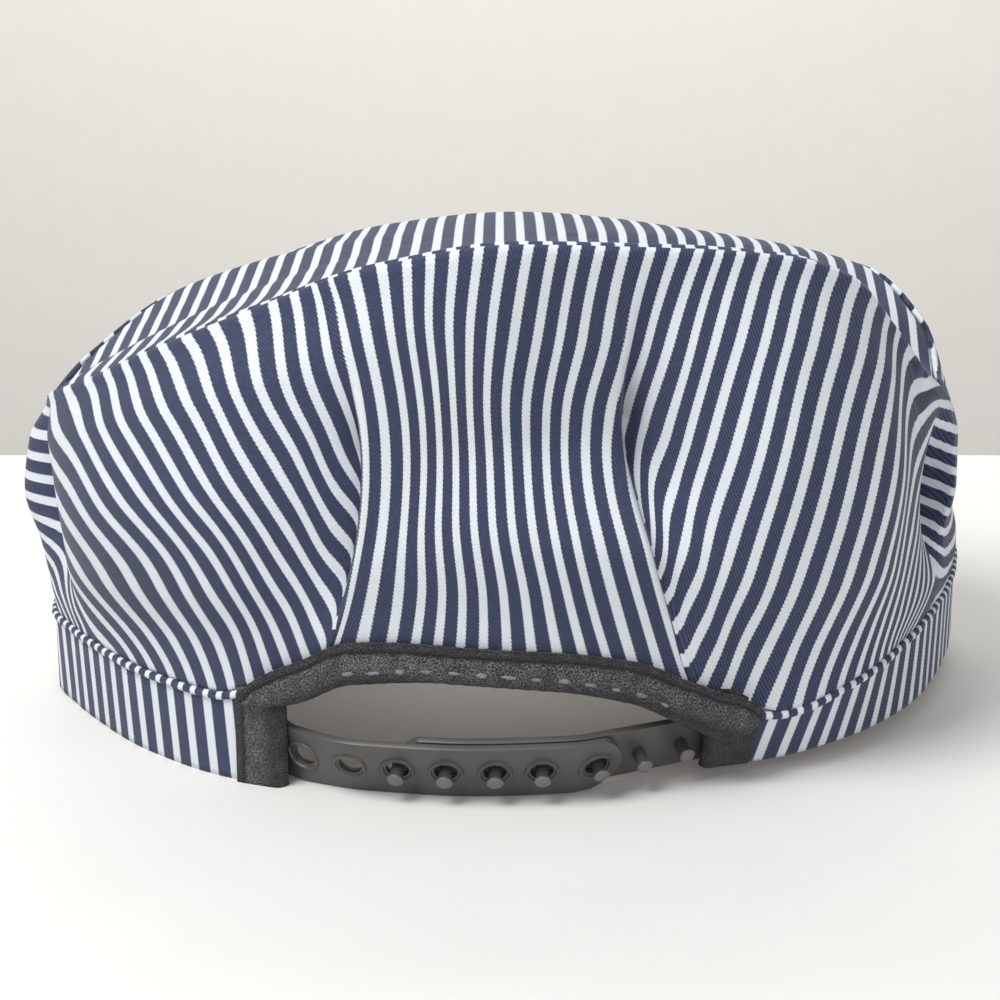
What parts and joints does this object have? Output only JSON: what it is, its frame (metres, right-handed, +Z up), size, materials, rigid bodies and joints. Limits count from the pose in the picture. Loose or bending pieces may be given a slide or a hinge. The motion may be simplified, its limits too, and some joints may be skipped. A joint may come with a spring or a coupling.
{
  "type": "conductor cap",
  "caption": "Striped cloth conductor cap with a soft pleated crown, a stiff band, a short peak, and a snap strap under an arched gap at the back.",
  "frame": {"origin": "middle of the underside of the whole cap's box, on the surface that it rests on", "axes": "+Z up, +Y towards the peak, the strap faces -Y"},
  "size_m": [0.2274, 0.2096, 0.1218],
  "materials": {
    "striped_cloth": "cotton twill in narrow navy and white stripes",
    "binding_tape": "black woven tape",
    "strap_plastic": "satin charcoal"
  },
  "bodies": {
    "root": {"crown_wall": "striped_cloth", "crown_top": "striped_cloth", "headband": "striped_cloth", "peak": "striped_cloth", "arch_binding": "binding_tape", "end_binding_left": "binding_tape", "end_binding_right": "binding_tape", "strap_holes": "strap_plastic", "strap_studs": "strap_plastic"}
  },
  "joints": []
}
